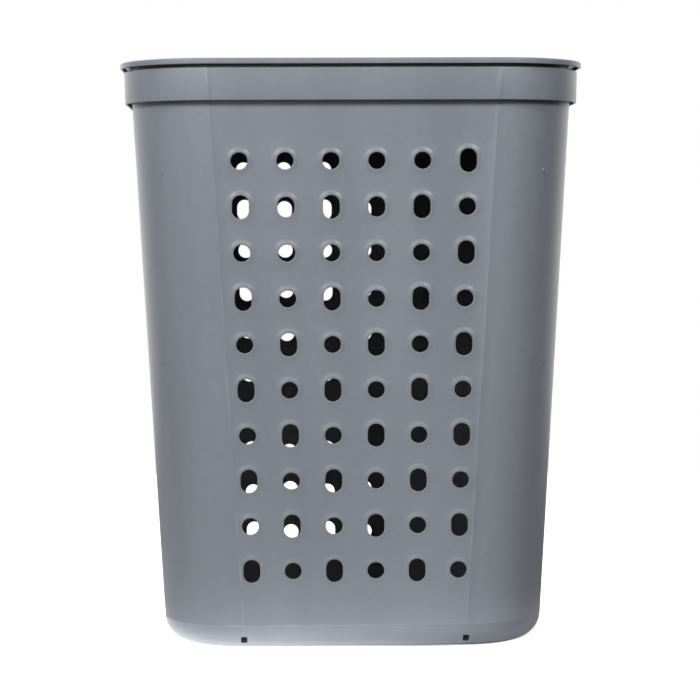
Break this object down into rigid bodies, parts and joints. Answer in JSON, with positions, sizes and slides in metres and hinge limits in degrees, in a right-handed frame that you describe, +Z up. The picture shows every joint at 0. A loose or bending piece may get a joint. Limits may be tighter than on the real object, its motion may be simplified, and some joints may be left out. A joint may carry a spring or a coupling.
{
  "type": "laundry hamper with lid",
  "caption": "Tall tapered laundry hamper of moulded plastic with rounded corners, a vented front and back, a rim band and a flat lid hinged at the back.",
  "frame": {"origin": "middle of the footprint, on the floor", "axes": "+X to the right seen from the front, +Y towards the hinges at the back, +Z up"},
  "size_m": [0.4476, 0.3634, 0.5664],
  "materials": {
    "tub_plastic": "satin blue-grey moulded polypropylene",
    "lid_plastic": "satin blue-grey moulded polypropylene",
    "pin_plastic": "smooth blue-grey moulded acetal"
  },
  "bodies": {
    "tub": {"tub": "tub_plastic", "hinge_pin_left": "pin_plastic", "hinge_pin_right": "pin_plastic"},
    "lid": {"lid": "lid_plastic"}
  },
  "joints": [
    {"name": "lid_hinge", "type": "hinge", "parent": "tub", "child": "lid", "pos_m": [0, 0.17409, 0.5541], "axis": [-1, 0, 0], "range_deg": [0, 105]}
  ]
}
